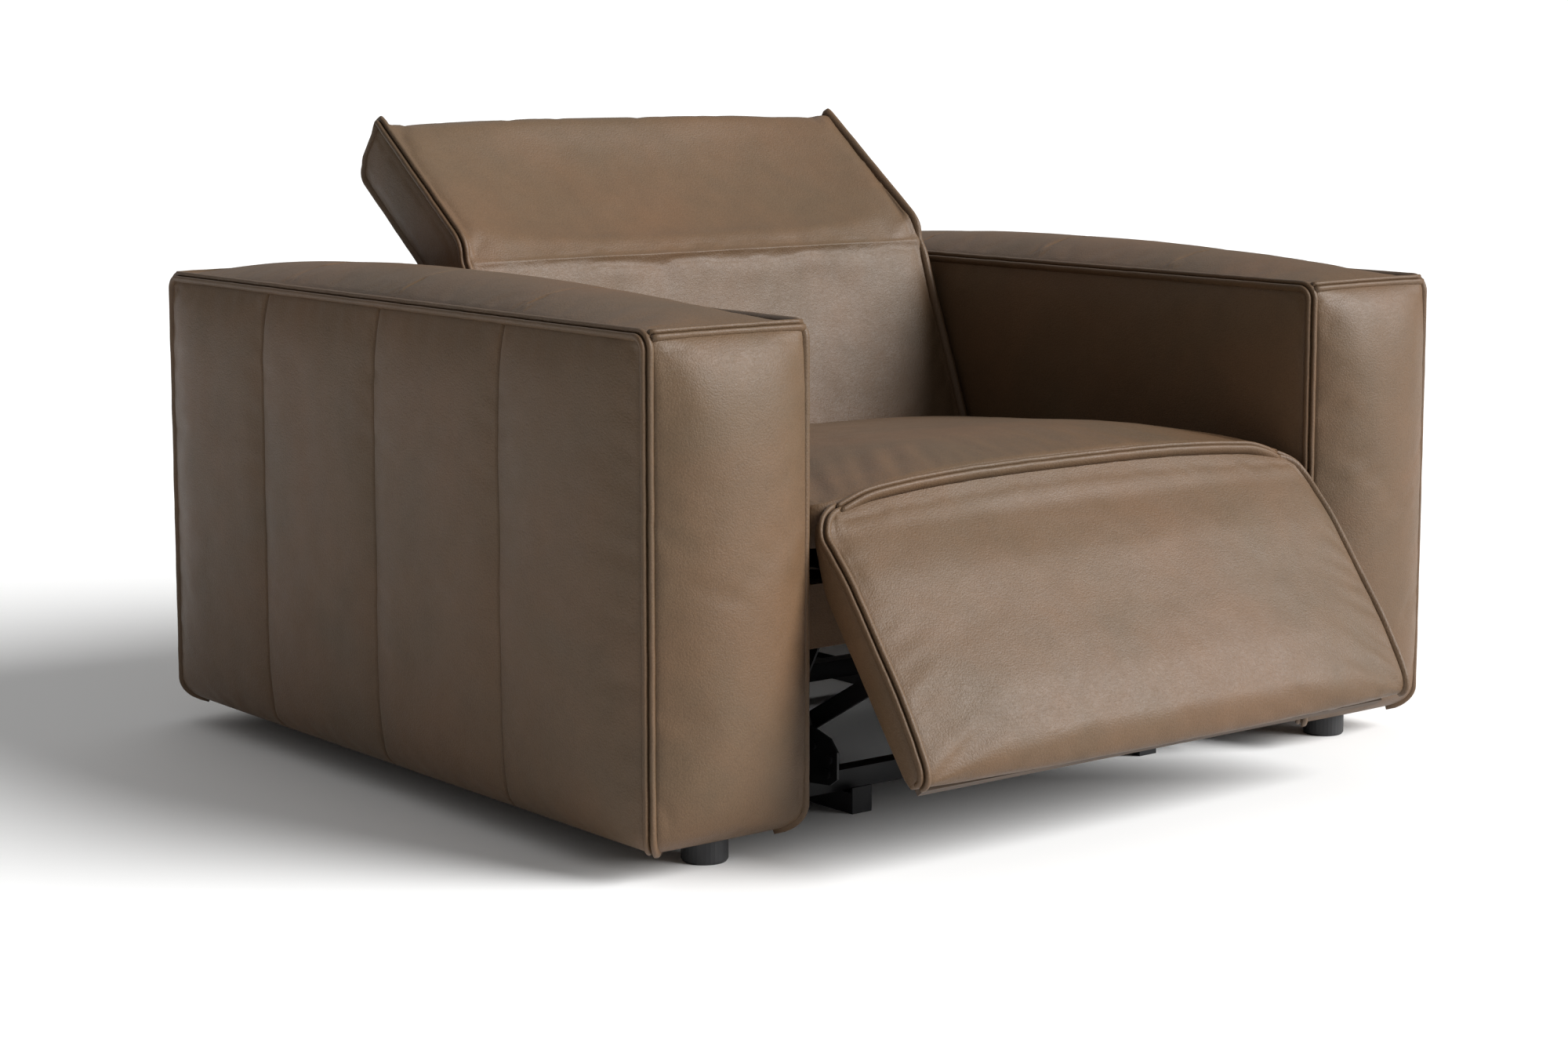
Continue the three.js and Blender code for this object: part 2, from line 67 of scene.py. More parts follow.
ARM_LOW, ARM_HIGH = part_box("arm_right_cover")
ARM_INNER, ARM_OUTER = round(ARM_LOW.x, 4), round(ARM_HIGH.x - 0.002, 4)
ARM_FLOOR, ARM_TOP = round(ARM_LOW.z - 0.001, 4), round(ARM_HIGH.z - 0.028, 4)  # without the crown
FRONT_Y = ARM_LOW.y + 0.008  # the arms' front seam plane
BACK_Y = ARM_HIGH.y - 0.008
SEAT_HALF = half_width("seat_cushion") + 0.002
FOOTREST_HALF = half_width("footrest_pad")
BACK_HALF = half_width("back_cushion")
JOINT = {j["name"]: j for j in frame["joints"]}
HEAD = Vector(JOINT["headrest_tilt"]["pos_m"])
SEAM_DROP = 0.0022  # a seam's root lies this far inside the edge that it runs along
SEAM_SINK = 0.0018  # and this far below the panel that it stands on
EDGE_RADIUS = 0.013  # of the footrest's and the back's padded edges

# ---- camera ----
camera_data = bpy.data.cameras.new("camera")
camera_data.lens = 70.53
camera_data.sensor_width = 36
camera_data.shift_y = -0.045
camera_data.clip_end = 100
camera = bpy.data.objects.new("camera", camera_data)
camera.location = (-2.5477, FRONT_Y - 2.6362, 0.9145)
camera.rotation_euler = (math.radians(90 - 7.628), 0, math.radians(-38.546))
bpy.context.scene.collection.objects.link(camera)
bpy.context.scene.camera = camera
bpy.context.scene.view_settings.view_transform = "Standard"


# ---- materials ----
class Nodes:
    """A short way to write a node material."""

    def __init__(self, name):
        self.material = bpy.data.materials.new(name)
        self.material.use_nodes = True
        self.tree = self.material.node_tree
        self.shader = self.tree.nodes["Principled BSDF"]
        self.coords = self.tree.nodes.new("ShaderNodeTexCoord").outputs["Object"]

    def add(self, kind, inputs=None, **settings):
        node = self.tree.nodes.new("ShaderNode" + kind)
        for key, value in settings.items():
            setattr(node, key, value)
        for key, value in (inputs or {}).items():
            self.feed(node.inputs[key], value)
        return node

    def feed(self, socket, value):
        if isinstance(value, bpy.types.NodeSocket):
            self.tree.links.new(value, socket)
        else:
            socket.default_value = value

    def noise(self, scale, detail=3.0, roughness=0.5, distortion=0.0, vector=None):
        inputs = {"Vector": vector or self.coords, "Scale": scale, "Detail": detail}
        inputs.update({"Roughness": roughness, "Distortion": distortion})
        return self.add("TexNoise", inputs).outputs["Fac"]

    def ramp(self, fac, stops):
        node = self.add("ValToRGB", {"Fac": fac})
        elements = node.color_ramp.elements
        while len(elements) < len(stops):
            elements.new(0.5)
        for element, (place, colour) in zip(elements, stops):
            element.position = place
            element.color = (*colour, 1) if len(colour) == 3 else colour
        return node.outputs["Color"]

    def mix(self, fac, a, b, blend="MIX"):
        node = self.add("Mix", data_type="RGBA", blend_type=blend)
        self.feed(node.inputs[0], fac)
        self.feed(node.inputs[6], a)
        self.feed(node.inputs[7], b)
        return node.outputs[2]

    def between(self, fac, low, high, start=0.0, end=1.0):
        inputs = {"Value": fac, "From Min": start, "From Max": end, "To Min": low, "To Max": high}
        return self.add("MapRange", inputs).outputs["Result"]

    def bump(self, height, distance, strength=1.0, normal=None):
        inputs = {"Height": height, "Distance": distance, "Strength": strength}
        if normal is not None:
            inputs["Normal"] = normal
        return self.add("Bump", inputs).outputs["Normal"]

    def set(self, **inputs):
        for key, value in inputs.items():
            self.feed(self.shader.inputs[key.replace("_", " ")], value)


def leather_material(name, tint=1.0):
    """Brown leather: two close tones in soft patches, fine pores, faint creases and a low sheen."""
    n = Nodes(name)
    warm, cool = (0.118, 0.066, 0.0335), (0.101, 0.0625, 0.0335)
    warm = tuple(tint * c for c in warm)
    cool = tuple(tint * c for c in cool)
    base = n.ramp(n.noise(4.5, 4.0, 0.55, 0.4), [(0.36, cool), (0.64, warm)])
    blotch = n.ramp(n.noise(22, 5.0, 0.6), [(0.3, (0.93, 0.94, 0.94)), (0.7, (1.05, 1.04, 1.03))])
    base = n.mix(1.0, base, blotch, "MULTIPLY")
    pebble = n.add("TexVoronoi", {"Vector": n.coords, "Scale": 520.0}, feature="SMOOTH_F1")
    pore = n.ramp(pebble.outputs["Distance"], [(0.1, (1.04, 1.04, 1.04)), (0.75, (0.84, 0.83, 0.82))])
    base = n.mix(0.8, base, pore, "MULTIPLY")
    fleck = n.ramp(n.noise(300, 3.0, 0.7), [(0.28, (0.8, 0.78, 0.76)), (0.42, (1.0, 1.0, 1.0))])
    base = n.mix(0.5, base, fleck, "MULTIPLY")
    n.set(Base_Color=base)
    n.set(Roughness=n.between(n.noise(30, 4.0, 0.6), 0.48, 0.54, 0.3, 0.7))
    n.shader.inputs["Specular IOR Level"].default_value = 0.31
    stretch = n.add("Mapping", {"Vector": n.coords, "Scale": (1.0, 1.0, 2.2)}).outputs["Vector"]
    creases = n.noise(120, 4.0, 0.6, 1.2, stretch)
    thin = n.ramp(creases, [(0.45, (0, 0, 0)), (0.5, (1, 1, 1)), (0.55, (0, 0, 0))])
    normal = n.bump(n.noise(10, 3.0, 0.5), 0.005, 0.3)
    normal = n.bump(thin, -0.00022, 0.3, normal)
    normal = n.bump(n.noise(240, 3.0, 0.6), 0.0006, 0.2, normal)
    normal = n.bump(pebble.outputs["Distance"], -0.0006, 0.5, normal)
    n.set(Normal=normal)
    return n.material


def metal_material(name, colour, roughness, metallic, streak=0.0):
    """Metal or its coating, a little uneven in tone and gloss. streak stretches the marks along X."""
    n = Nodes(name)
    patch = n.noise(16, 4.0, 0.6)
    low = tuple(0.8 * c for c in colour)
    high = tuple(1.25 * c for c in colour)
    n.set(Base_Color=n.ramp(patch, [(0.35, low), (0.65, high)]))
    n.set(Roughness=n.between(n.noise(60, 4.0, 0.6), roughness - 0.08, roughness + 0.1, 0.3, 0.7))
    n.shader.inputs["Metallic"].default_value = metallic
    stretch = (1.0, 1.0 + streak, 1.0 + streak)
    vector = n.add("Mapping", {"Vector": n.coords, "Scale": stretch}).outputs["Vector"]
    n.set(Normal=n.bump(n.noise(700, 2.0, 0.5, 0.0, vector), 0.0002, 0.35))
    return n.material


def wood_material(name):
    """Dark wood with its grain along X."""
    n = Nodes(name)
    vector = n.add("Mapping", {"Vector": n.coords, "Scale": (3.0, 40.0, 40.0)}).outputs["Vector"]
    rings = n.noise(2.0, 6.0, 0.6, 1.2, vector)
    n.set(Base_Color=n.ramp(rings, [(0.3, (0.050, 0.032, 0.022)), (0.7, (0.105, 0.070, 0.045))]))
    n.set(Roughness=n.between(rings, 0.6, 0.8))
    n.set(Normal=n.bump(rings, 0.0006, 0.4))
    return n.material


def plastic_material(name, colour, roughness):
    """Moulded plastic with a fine spark texture."""
    n = Nodes(name)
    n.set(Base_Color=n.ramp(n.noise(30, 3.0), [(0.3, colour), (0.7, tuple(1.3 * c for c in colour))]))
    n.set(Roughness=n.between(n.noise(90, 3.0), roughness - 0.06, roughness + 0.08, 0.3, 0.7))
    spark = n.add("TexVoronoi", {"Vector": n.coords, "Scale": 1400.0}).outputs["Distance"]
    n.set(Normal=n.bump(spark, 0.00015, 0.5))
    return n.material


def cloth_material(name):
    """Thin black deck cloth in a plain weave."""
    n = Nodes(name)
    across = n.add("TexWave", {"Vector": n.coords, "Scale": 260.0, "Distortion": 0.6}, bands_direction="X")
    along = n.add("TexWave", {"Vector": n.coords, "Scale": 260.0, "Distortion": 0.6}, bands_direction="Y")
    weave = n.mix(0.5, across.outputs["Color"], along.outputs["Color"])
    n.set(Base_Color=n.ramp(n.noise(20), [(0.3, (0.012, 0.012, 0.013)), (0.7, (0.025, 0.024, 0.026))]))
    n.set(Roughness=n.between(n.noise(200), 0.85, 0.98))
    n.set(Normal=n.bump(weave, 0.0006, 0.6))
    return n.material


LEATHER = leather_material("leather_taupe")
LEATHER_EDGE = leather_material("leather_taupe_edge", 0.95)
BLACK_STEEL = metal_material("black_powder_coat", (0.011, 0.011, 0.012), 0.4, 0.35)
ZINC = metal_material("zinc_plate", (0.42, 0.42, 0.43), 0.34, 0.95, 6.0)
WOOD = wood_material("stained_ply")
PLASTIC = plastic_material("moulded_black", (0.01, 0.01, 0.011), 0.5)
CLOTH = cloth_material("deck_cloth")
BY_SLOT = {
    "leather": LEATHER,
    "wood": WOOD,
    "black_steel": BLACK_STEEL,
    "zinc_steel": ZINC,
    "black_plastic": PLASTIC,
    "deck_cloth": CLOTH,
}


def dress_cad():
    """Gives each CAD node the node material of its slot."""
    for part in frame["record"]["subparts"]:
        node = frame["nodes"][part["node"]]
        node.data.materials.clear()
        node.data.materials.append(BY_SLOT[part["material_slot"]])


dress_cad()


# ---- mesh helpers ----
def make(name, verts, faces, material):
    """A smooth-shaded mesh object in the scene."""
    mesh = bpy.data.meshes.new(name)
    mesh.from_pydata([tuple(v) for v in verts], [], faces)
    mesh.validate()
    mesh.materials.append(material)
    mesh.polygons.foreach_set("use_smooth", [True] * len(mesh.polygons))
    obj = bpy.data.objects.new(name, mesh)
    bpy.context.scene.collection.objects.link(obj)
    return obj


END_STEPS = (0.001, 0.003, 0.006, 0.010, 0.015, 0.021)  # extra grid lines this far from an end
LINE_STEPS = (0, 0.0009, 0.0022, 0.0042, 0.007, 0.012)  # and this far to both sides of a seam line
LEAST_STEP = 0.0007


def spread(length, pitch, edge=0.03, lines=()):
    """Places from 0 to 1 along a side: a pitch apart, closer near both ends and near each seam line."""
    count = max(3, round(length / pitch))
    places = set(np.round(np.linspace(0, 1, count + 1), 6))
    for d in END_STEPS:
        if d < edge:
            places.update((round(d / length, 6), round(1 - d / length, 6)))
    for line in lines:
        for d in LINE_STEPS:
            places.update((round(line + d / length, 6), round(line - d / length, 6)))
    ordered = sorted(p for p in places if 0 <= p <= 1)
    kept = [ordered[0]]
    for p in ordered[1:]:
        if (p - kept[-1]) * length > LEAST_STEP:
            kept.append(p)
    kept[-1] = 1.0
    return kept


def lattice(us, vs, ws, place):
    """The skin of a box of grid points: its points, its faces, and each point's (u, v, w) from 0 to 1.

    place(u, v, w) turns numpy arrays into an N x 3 array.
    """
    nu, nv, nw = len(us) - 1, len(vs) - 1, len(ws) - 1
    index, keys = {}, []

    def at(i, j, k):
        key = (i, j, k)
        if key not in index:
            index[key] = len(keys)
            keys.append(key)
        return index[key]

    faces = []
    for i in range(nu):
        for j in range(nv):
            faces.append((at(i, j, 0), at(i, j + 1, 0), at(i + 1, j + 1, 0), at(i + 1, j, 0)))
            faces.append((at(i, j, nw), at(i + 1, j, nw), at(i + 1, j + 1, nw), at(i, j + 1, nw)))
    for i in range(nu):
        for k in range(nw):
            faces.append((at(i, 0, k), at(i + 1, 0, k), at(i + 1, 0, k + 1), at(i, 0, k + 1)))
            faces.append((at(i, nv, k), at(i, nv, k + 1), at(i + 1, nv, k + 1), at(i + 1, nv, k)))
    for j in range(nv):
        for k in range(nw):
            faces.append((at(0, j, k), at(0, j, k + 1), at(0, j + 1, k + 1), at(0, j + 1, k)))
            faces.append((at(nu, j, k), at(nu, j + 1, k), at(nu, j + 1, k + 1), at(nu, j, k + 1)))
    grid = np.array(keys)
    uvw = [np.array(places)[grid[:, k]] for k, places in enumerate((us, vs, ws))]
    return place(*uvw), faces, uvw


def fall(t, power):
    """1 in the middle and 0 at both ends, -1 and 1: the higher the power, the flatter the middle."""
    return 1 - np.abs(t) ** power


def rounded(a, b, radius):
    """Distances from two faces that meet at an edge, moved so that the edge is round."""
    da, db = np.maximum(radius - a, 0), np.maximum(radius - b, 0)
    both = (da > 0) & (db > 0)
    factor = np.where(both, np.maximum(da, db) / np.maximum(np.hypot(da, db), 1e-9), 1)
    return np.where(both, radius - da * factor, a), np.where(both, radius - db * factor, b)


def soft_noise(points, scale, seed=0.0):
    """Smooth noise from -1 to 1 at each point."""
    shift = Vector((seed, 2.3 * seed, -1.7 * seed))
    return np.array([noise.noise(Vector(p) * scale + shift) for p in points])


def pucker(points, gap, reach, squash, scale, seed):
    """Small ripples that run across a seam and fade out with the gap from it; squash makes them long."""
    return np.exp(-gap / reach) * soft_noise(points * np.array(squash), scale, seed)


def curve_through(points, count):
    """Evenly spaced points on a smooth curve through the given ones."""
    p = np.array(points, float)
    p = np.vstack([2 * p[0] - p[1], p, 2 * p[-1] - p[-2]])
    out = []
    for i in range(1, len(p) - 2):
        for t in np.linspace(0, 1, 40, endpoint=False):
            a, b, c, d = p[i - 1], p[i], p[i + 1], p[i + 2]
            square, cube = 2 * a - 5 * b + 4 * c - d, 3 * b - a - 3 * c + d
            out.append(0.5 * (2 * b + (c - a) * t + square * t**2 + cube * t**3))
    out.append(p[-2])
    return even(out, count)


def even(points, count):
    """The same line of points, with count points at even distances."""
    p = np.array(points, float)
    s = np.concatenate([[0], np.cumsum(np.linalg.norm(np.diff(p, axis=0), axis=1))])
    want = np.linspace(0, s[-1], count)
    return np.stack([np.interp(want, s, p[:, k]) for k in range(p.shape[1])], axis=1)


# Half the section across a flanged seam, in millimetres: a rounded lip, and the groove in the middle.
HALF_LIPS = [(-6.0, -7.0), (-6.3, -1.5), (-6.2, 1.0), (-5.4, 3.0), (-4.2, 4.1)]
HALF_LIPS += [(-3.0, 4.4), (-1.9, 4.0), (-1.0, 2.7), (-0.45, 0.4), (-0.3, -1.6)]
LIPS = HALF_LIPS + [(-across, up) for across, up in reversed(HALF_LIPS)]


def flange(path, outs, wide=1.22, high=1.05, wobble=0.0004):
    """A double-lipped seam along path, standing up towards outs."""
    path = np.array(path, float)
    outs = np.array(outs, float)
    count = len(path)
    along = np.gradient(path, axis=0)
    along /= np.linalg.norm(along, axis=1)[:, None]
    outs = outs - along * np.sum(outs * along, axis=1)[:, None]
    outs /= np.linalg.norm(outs, axis=1)[:, None]
    cross = np.cross(along, outs)
    wave_up = soft_noise(path, 38.0, 5.0)[:, None]
    wave_across = soft_noise(path, 55.0, 9.0)[:, None]
    verts, faces = [], []
    ring = len(LIPS)
    for i in range(count):
        for c, h in LIPS:
            lift = wobble * wave_up[i] if h > 0 else 0.0
            sideways = cross[i] * (0.001 * wide * c + wobble * wave_across[i])
            verts.append(path[i] + sideways + outs[i] * (0.001 * high * h + lift))
    for a in range(0, (count - 1) * ring, ring):
        for k in range(ring):
            m = (k + 1) % ring
            faces.append((a + k, a + m, a + ring + m, a + ring + k))
    faces.append(tuple(reversed(range(ring))))
    faces.append(tuple((count - 1) * ring + k for k in range(ring)))
    return verts, faces


def merged(parts):
    """Several (verts, faces) as one."""
    verts, faces = [], []
    for v, f in parts:
        start = len(verts)
        verts.extend(v)
        faces.extend(tuple(start + i for i in face) for face in f)
    return verts, faces


def outward(obj):
    """Turns the faces of a closed mesh to point out."""
    bm = bmesh.new()
    bm.from_mesh(obj.data)
    bmesh.ops.recalc_face_normals(bm, faces=bm.faces)
    bm.to_mesh(obj.data)
    bm.free()
    return obj


# ---- cloth: a leather skin held at its seams and blown up by its filling ----
CLOTH_FRAMES = 14
PRESSURE = 4.0
SLACK = 0.004  # the share by which the leather is cut larger than its shape


def inflate(body, held, cap):
    """Runs Cloth on a closed skin and keeps the result, each point moved at most cap.

    held is each point's pin weight, from 0, free, to 1, pinned.
    """
    group = body.vertex_groups.new(name="seams")
    for i, weight in enumerate(held):
        if weight > 0:
            group.add([i], float(weight), "REPLACE")
    cloth = body.modifiers.new("stuffing", "CLOTH")
    cloth.settings.quality = 3
    cloth.settings.mass = 0.35
    cloth.settings.tension_stiffness = 30
    cloth.settings.compression_stiffness = 22
    cloth.settings.shear_stiffness = 12
    cloth.settings.bending_stiffness = 1.5
    cloth.settings.air_damping = 4
    cloth.settings.vertex_group_mass = "seams"
    cloth.settings.use_pressure = True
    cloth.settings.uniform_pressure_force = PRESSURE
    cloth.settings.shrink_min = -SLACK
    cloth.settings.effector_weights.gravity = 0
    cloth.collision_settings.use_collision = False
    cloth.point_cache.frame_start = 1
    cloth.point_cache.frame_end = CLOTH_FRAMES
    count = len(body.data.vertices)
    start = np.empty(3 * count)
    body.data.vertices.foreach_get("co", start)
    start = start.reshape(-1, 3)
    for step in range(1, CLOTH_FRAMES + 1):
        bpy.context.scene.frame_set(step)
    solved = body.evaluated_get(bpy.context.evaluated_depsgraph_get())
    end = np.empty(3 * count)
    solved.data.vertices.foreach_get("co", end)
    move = end.reshape(-1, 3) - start
    body.modifiers.remove(cloth)
    body.vertex_groups.remove(group)
    bpy.context.scene.frame_set(1)
    size = np.maximum(np.linalg.norm(move, axis=1), 1e-9)
    limit = np.maximum(cap, 1e-6)
    move *= (limit * np.tanh(size / limit) / size)[:, None]
    body.data.vertices.foreach_set("co", (start + move).ravel())
    body.data.update()


def near_edges(points, spans, reach):
    """1 on the edges of a box of the given spans, 0 further than reach from them."""
    gaps = np.sort(np.stack([(1 - np.abs(p)) * span for p, span in zip(points, spans)]), axis=0)
    return np.clip(1.6 - gaps[1] / reach, 0, 1)


# ---- arms ----
ARM_SEAMS = (0.25, 0.5, 0.75)
CORNER = 0.014
TUCK = 0.030  # height of the rounding under the arm
STITCH_WIDTH, STITCH_DEPTH = 0.0016, 0.0036  # the plain seams on the outer side
PANEL = dict(front=0.035, rear=0.020, outer=0.019, inner=0.010, top=0.029)  # how far each panel swells


def arm_inset(z):
    """How far the walls stand back from the box at height z: rounded under, and a little at the top."""
    low = np.clip((z - ARM_FLOOR) / TUCK, 0, 1)
    high = np.clip((ARM_TOP - z) / CORNER, 0, 1)
    return TUCK * (1 - np.sqrt(1 - (1 - low) ** 2)) + CORNER * (1 - np.sqrt(1 - (1 - high) ** 2))


def arm_leather(name, side):
    """One arm's closed skin. It is shaped as the right arm, and side -1 mirrors it."""
    middle = np.array([(ARM_INNER + ARM_OUTER) / 2, (FRONT_Y + BACK_Y) / 2, (ARM_FLOOR + ARM_TOP) / 2])
    half = np.array([(ARM_OUTER - ARM_INNER) / 2, (BACK_Y - FRONT_Y) / 2, (ARM_TOP - ARM_FLOOR) / 2])

    def place(u, v, w):
        ux, uy, uz = 2 * u - 1, 2 * v - 1, 2 * w - 1
        z = middle[2] + half[2] * uz
        inset = arm_inset(z)
        x, y = half[0] * ux, half[1] * uy
        dx = np.sign(x) * np.maximum(np.abs(x) - (half[0] - CORNER), 0)
        dy = np.sign(y) * np.maximum(np.abs(y) - (half[1] - CORNER), 0)
        length = np.maximum(np.hypot(dx, dy), 1e-9)
        squeeze = np.where((dx != 0) & (dy != 0), np.maximum(np.abs(dx), np.abs(dy)) / length, 1)
        x, y = x - dx + dx * squeeze, y - dy + dy * squeeze
        x = x * (1 - inset / half[0])
        y = y * (1 - inset / half[1])
        end_swell = np.where(uy < 0, PANEL["front"], PANEL["rear"])
        y = y + uy * end_swell * fall(ux, 2.7) * fall(uz, 7)
        side_swell = np.where(ux > 0, PANEL["outer"], PANEL["inner"])
        panel = (v * (len(ARM_SEAMS) + 1)) % 1.0
        pillow = np.where(ux > 0, 0.76 + 0.24 * fall(2 * panel - 1, 2.6), 1)
        x = x + ux * side_swell * fall(uy, 14) * fall(uz, 6) * pillow
        seam = np.zeros_like(uy)
        for line in ARM_SEAMS:
            seam += np.exp(-(((v - line) * 2 * half[1]) / STITCH_WIDTH) ** 2)
        x = x - np.where(ux > 0.98, STITCH_DEPTH * seam, 0)
        top_shape = 0.8 * fall(uy, 2.2) + 0.2 * fall(uy, 12)
        z = z + np.where(uz > 0, uz, 0) ** 3 * PANEL["top"] * fall(ux, 3.0) * top_shape
        points = np.stack([middle[0] + x, middle[1] + y, z], axis=1)
        ripple = soft_noise(points, 11.0, 3.0 + side) * 0.0014
        ripple += soft_noise(points, 34.0, 7.0 + side) * 0.0005
        free = fall(uz, 16) * fall(uy, 30)
        points[:, 0] += np.where(np.abs(ux) > 0.98, np.sign(ux) * ripple * free, 0)
        points[:, 1] += np.where(np.abs(uy) > 0.98, np.sign(uy) * ripple * free, 0)
        down = pucker(points, ARM_TOP - z, 0.028, (1, 1, 0.12), 46.0, 11.0)
        points[:, 0] += np.where(np.abs(ux) > 0.98, ux * 0.0010 * down * fall(uz, 40), 0)
        along = pucker(points, (1 - np.abs(uy)) * half[1], 0.03, (1, 0.12, 1), 40.0, 15.0)
        points[:, 0] += np.where(np.abs(ux) > 0.98, ux * 0.0010 * along * fall(uy, 60), 0)
        across = pucker(points, (1 - np.abs(ux)) * half[0], 0.022, (0.12, 1, 1), 42.0, 19.0)
        points[:, 1] += np.where(np.abs(uy) > 0.98, uy * 0.0011 * across * fall(ux, 30), 0)
        points[:, 2] += np.where(uz > 0.98, 0.0009 * across * fall(ux, 30), 0)
        points[:, 0] *= side
        return points

    us = spread(2 * half[0], 0.009)
    vs = spread(2 * half[1], 0.010, lines=ARM_SEAMS)
    ws = spread(2 * half[2], 0.010)
    verts, faces, (u, v, w) = lattice(us, vs, ws, place)
    ux, uy, uz = 2 * u - 1, 2 * v - 1, 2 * w - 1
    held = near_edges((ux, uy, uz), half, 0.010)
    for line in ARM_SEAMS:
        stitch = np.clip(1.5 - np.abs(v - line) * 2 * half[1] / 0.003, 0, 1)
        held = np.maximum(held, np.where(ux > 0.98, stitch, 0))
    held = np.maximum(held, np.where(uz < -0.98, 1, 0))
    cap = np.where(ux < -0.98, 0.0015, np.where(ux > 0.98, 0.003, 0.005))
    body = outward(make(name, verts, faces, LEATHER))
    inflate(body, held, cap)
    return body


def sink_round_controls(body):
    """Presses the inner panel in round the control bezel, so that the bezel's face stands proud."""
    low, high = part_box("control_bezel")
    middle, half = (low + high) / 2, (high - low) / 2
    rim, slope, proud = 0.009, 0.020, 0.0025
    for vertex in body.data.vertices:
        gap_y = abs(vertex.co.y - middle.y) - half.y - rim
        gap_z = abs(vertex.co.z - middle.z) - half.z - rim
        gap = math.hypot(max(gap_y, 0), max(gap_z, 0))
        if gap < slope and vertex.co.x > low.x:
            share = (1 - gap / slope) ** 2 * (1 + 2 * gap / slope)
            vertex.co.x += share * (high.x - proud - vertex.co.x)


def arm_loop(x_edge, side, sign):
    """The long seam of one side panel: up the front edge, along the top and down the back edge."""
    radius, pitch = 0.017, 0.010
    path, outs = [], []
    front, back = FRONT_Y + SEAM_DROP, BACK_Y - SEAM_DROP
    low, top = ARM_FLOOR, ARM_TOP - SEAM_DROP

    def add(y, z, radial):
        inset = float(arm_inset(np.array([min(z, ARM_TOP - CORNER)]))[0])
        ny = y + inset * (1 if y < 0 else -1)
        nx = x_edge - sign * (SEAM_DROP + inset)
        path.append((side * nx, ny, z))
        outs.append((side * sign, radial[0], radial[1]))

    foot = np.linspace(low + 0.0004, low + TUCK, 12)
    wall = np.arange(low + TUCK + 0.009, top - radius, pitch)
    for z in np.concatenate([foot, wall]):
        down = max(0.0, 1 - (z - low) / TUCK)
        add(front, z, (-math.sqrt(max(0.05, 1 - down**2)), -down))
    for a in np.linspace(0, math.pi / 2, 9):
        y = front + radius - radius * math.cos(a)
        z = top - radius + radius * math.sin(a)
        add(y, z, (-math.cos(a), math.sin(a)))
    for y in np.arange(front + radius + 0.01, back - radius, pitch):
        add(y, top, (0, 1))
    for a in np.linspace(0, math.pi / 2, 9):
        y = back - radius + radius * math.sin(a)
        z = top - radius + radius * math.cos(a)
        add(y, z, (math.sin(a), math.cos(a)))
    for z in np.concatenate([wall[::-1], foot[::-1]]):
        down = max(0.0, 1 - (z - low) / TUCK)
        add(back, z, (math.sqrt(max(0.05, 1 - down**2)), -down))
    return flange(path, outs)


def arm_cross(side, y, out_y):
    """The short seam across the arm, between the end panel and the top panel."""
    xs = np.arange(ARM_INNER + 0.006, ARM_OUTER - 0.004, 0.008)
    drop = SEAM_DROP + 0.0006
    bow = np.sin(math.pi * (xs - xs[0]) / (xs[-1] - xs[0]))
    path = np.stack([side * xs, y - out_y * (drop - 0.0012 * bow), ARM_TOP - drop + 0.0008 * bow], axis=1)
    return flange(path, [(0, out_y, 1)] * len(path), wide=1.15)


def build_arm(label, side):
    """An arm's skin and its four flanged seams. The left arm holds the controls."""
    body = arm_leather(f"arm_{label}_leather", side)
    if side < 0:
        sink_round_controls(body)
    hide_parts(f"arm_{label}_cover")
    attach(body, "frame")
    parts = [
        arm_loop(ARM_OUTER, side, 1),
        arm_loop(ARM_INNER, side, -1),
        arm_cross(side, FRONT_Y, -1),
        arm_cross(side, BACK_Y, 1),
    ]
    welt = outward(make(f"arm_{label}_flange_seams", *merged(parts), LEATHER_EDGE))
    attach(welt, "frame")


build_arm("left", -1)
build_arm("right", 1)


# ---- seat ----
CORNER_TURN = 0.046  # the seat's front seam turns into the footrest's side seams with this radius
SEAT_DEPTH = 0.600
SEAT_REAR_TOP, SEAT_UNDERSIDE = 0.366, 0.346
SEAT_CROWN = 0.027


def corner_cut(distance):
    """How far a side stands in at a distance past the front seam."""
    left = np.clip(CORNER_TURN - distance, 0, CORNER_TURN)
    return CORNER_TURN - np.sqrt(CORNER_TURN**2 - left**2)


def seat_line(x):
    """Height of the arched front seam."""
    return 0.417 - 0.024 * np.abs(x / 0.4) ** 3


